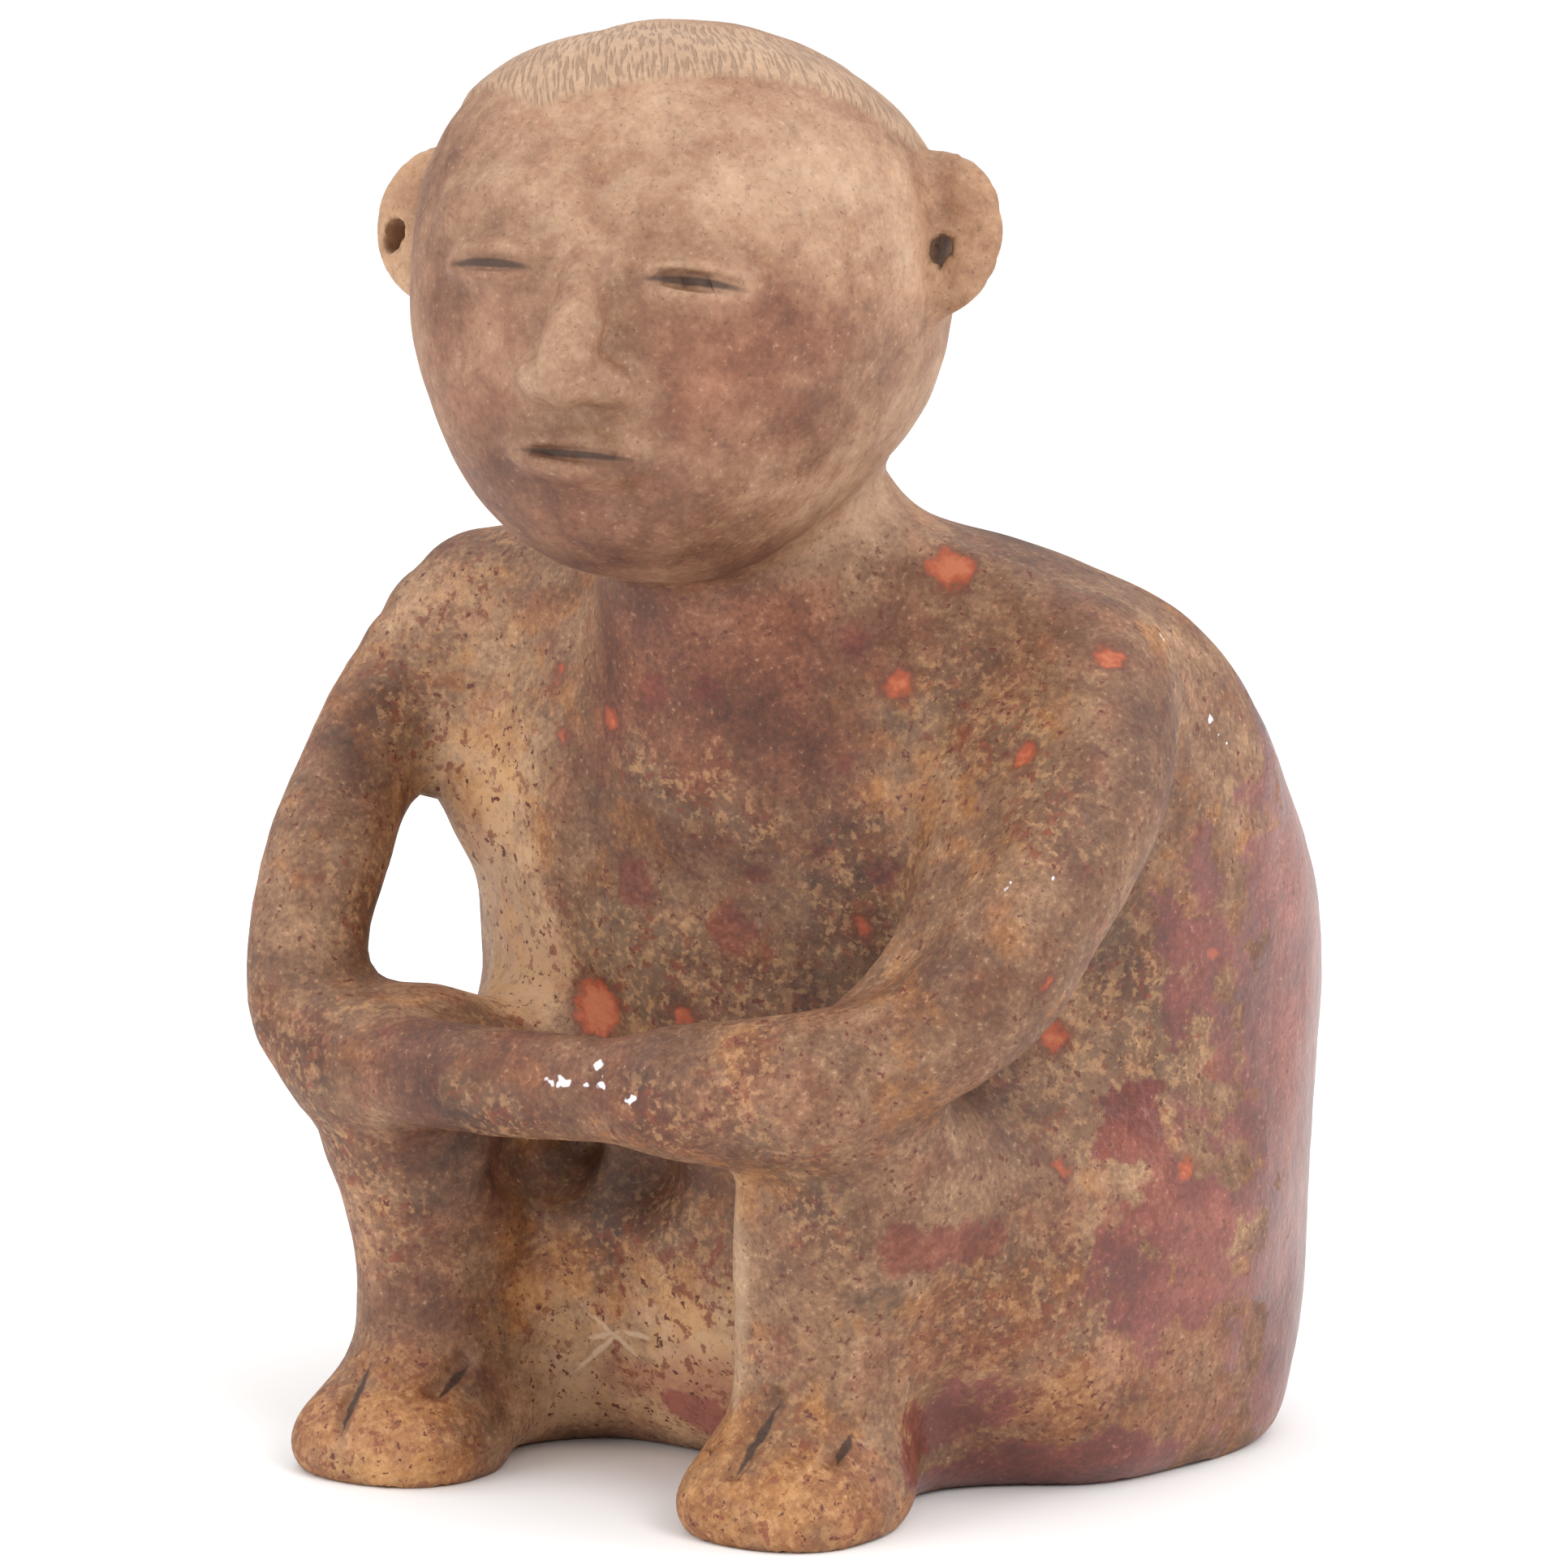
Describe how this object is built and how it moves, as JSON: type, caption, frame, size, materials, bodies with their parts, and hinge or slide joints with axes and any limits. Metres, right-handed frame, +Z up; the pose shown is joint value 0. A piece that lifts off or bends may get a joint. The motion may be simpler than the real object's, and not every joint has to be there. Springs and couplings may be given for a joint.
{
  "type": "effigy flask",
  "caption": "Hollow seated clay figure used as a flask, arms folded round the drawn-up knees, pierced tab ears, round mouth on the crown, flat underside.",
  "frame": {"origin": "middle of the outline box, on the flat underside", "axes": "+Z up, the figure looks toward -Y, its left side is +X"},
  "size_m": [0.1583, 0.172, 0.2347],
  "materials": {
    "fired_clay": "hand-burnished low-fired earthenware with worn red slip, chips, root marks and dark mineral specks"
  },
  "bodies": {
    "root": {"flask_body": "fired_clay"}
  },
  "joints": []
}
